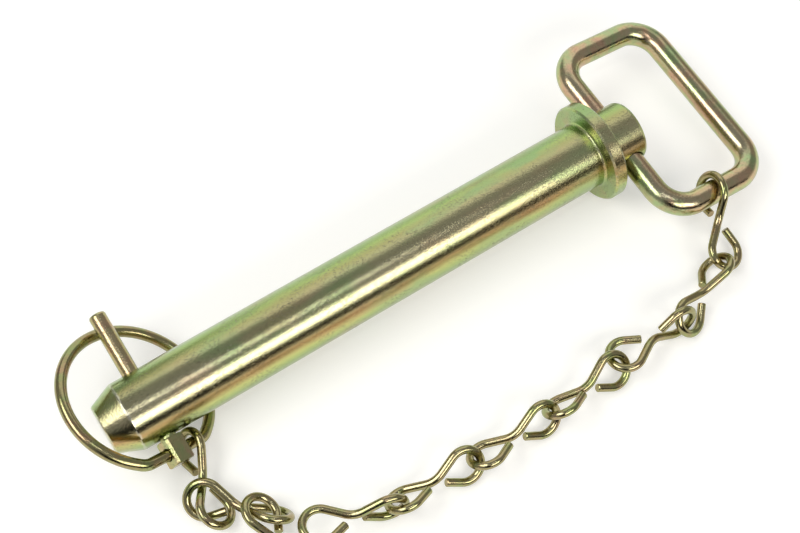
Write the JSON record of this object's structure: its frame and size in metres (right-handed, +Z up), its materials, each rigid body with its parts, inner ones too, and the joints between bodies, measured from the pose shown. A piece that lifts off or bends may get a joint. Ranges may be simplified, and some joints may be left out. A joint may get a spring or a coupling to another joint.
{
  "type": "tow pin",
  "caption": "Steel tow pin with a collared head, a swinging rod handle, a linch pin with a wire ring and a wire keeper chain, yellow zinc plated.",
  "frame": {"origin": "middle of the footprint, on the table that the pin lies on", "axes": "+X from the nose towards the head, +Z up from the table, +Y away from the side on which the chain lies"},
  "size_m": [0.2693, 0.1226, 0.038],
  "materials": {
    "pin_plating": "yellow zinc passivate, satin, drawn lengthwise",
    "handle_plating": "yellow zinc passivate, semi-bright",
    "linch_plating": "yellow zinc passivate, satin, worn edges",
    "ring_plating": "yellow zinc passivate on spring wire",
    "chain_plating": "yellow zinc passivate on bent wire"
  },
  "bodies": {
    "tow_pin": {"tow_pin": "pin_plating"},
    "handle": {"handle": "handle_plating"},
    "linch_pin": {"linch_pin": "linch_plating"},
    "ring": {"ring": "ring_plating"},
    "chain_link_01": {"chain_link_01": "chain_plating"},
    "chain_link_02": {"chain_link_02": "chain_plating"},
    "chain_link_03": {"chain_link_03": "chain_plating"},
    "chain_link_04": {"chain_link_04": "chain_plating"},
    "chain_link_05": {"chain_link_05": "chain_plating"},
    "chain_link_06": {"chain_link_06": "chain_plating"},
    "chain_link_07": {"chain_link_07": "chain_plating"},
    "chain_link_08": {"chain_link_08": "chain_plating"},
    "chain_link_09": {"chain_link_09": "chain_plating"},
    "chain_link_10": {"chain_link_10": "chain_plating"}
  },
  "joints": [
    {"name": "handle_swing", "type": "hinge", "parent": "tow_pin", "child": "handle", "pos_m": [0.0873, 0.0197, 0.01916], "axis": [-0.0013, 0.994, 0.1097], "range_deg": [-160, 145]},
    {"name": "linch_slide", "type": "slide", "parent": "tow_pin", "child": "linch_pin", "axis": [0.0038, -0.9511, -0.309], "range_m": [0, 0.014]},
    {"name": "ring_swing", "type": "hinge", "parent": "linch_pin", "child": "ring", "pos_m": [-0.10802, 0.00258, 0.01121], "axis": [-0.8666, -0.1573, 0.4736], "range_deg": [0, 85]},
    {"name": "link_01_swing", "type": "hinge", "parent": "handle", "child": "chain_link_01", "pos_m": [0.10869, -0.01646, 0.01247], "axis": [-0.9925, -0.0148, 0.1213], "range_deg": [-2, 38]},
    {"name": "link_02_swing", "type": "hinge", "parent": "chain_link_01", "child": "chain_link_02", "pos_m": [0.09576, -0.03723, 0.00568], "axis": [0.31, -0.6355, 0.7071], "range_deg": [-35, 35]},
    {"name": "link_03_swing", "type": "hinge", "parent": "chain_link_02", "child": "chain_link_03", "pos_m": [0.06702, -0.05124, 0.00228], "axis": [-0.8862, -0.0577, -0.4597], "range_deg": [-35, 0]},
    {"name": "link_04_swing", "type": "hinge", "parent": "chain_link_03", "child": "chain_link_04", "pos_m": [0.03777, -0.05437, 0.00761], "axis": [-0.8385, 0.5322, -0.1169], "range_deg": [-35, 2]},
    {"name": "link_05_swing", "type": "hinge", "parent": "chain_link_04", "child": "chain_link_05", "pos_m": [0.00455, -0.0534, 0.00719], "axis": [-0.0614, 0.6924, -0.7189], "range_deg": [-35, 35]},
    {"name": "link_06_swing", "type": "hinge", "parent": "chain_link_05", "child": "chain_link_06", "pos_m": [-0.0269, -0.05268, 0.00618], "axis": [0.1651, 0.8072, -0.5667], "range_deg": [-35, 35]},
    {"name": "link_07_swing", "type": "hinge", "parent": "chain_link_06", "child": "chain_link_07", "pos_m": [-0.05392, -0.05237, 0.00991], "axis": [-0.3664, 0.192, 0.9104], "range_deg": [-12, 35]},
    {"name": "link_10_swing", "type": "hinge", "parent": "ring", "child": "chain_link_10", "pos_m": [-0.10039, 0.00397, 0.00704], "axis": [0.8666, 0.1573, -0.4736], "range_deg": [-38, 4]},
    {"name": "link_09_swing", "type": "hinge", "parent": "chain_link_10", "child": "chain_link_09", "pos_m": [-0.10793, -0.0138, 0.00735], "axis": [-0.0044, 0.6897, 0.7241], "range_deg": [-22, 4]},
    {"name": "link_08_swing", "type": "hinge", "parent": "chain_link_09", "child": "chain_link_08", "pos_m": [-0.09656, -0.02945, 0.00892], "axis": [0, 0, 1], "range_deg": [-38, 8]}
  ]
}
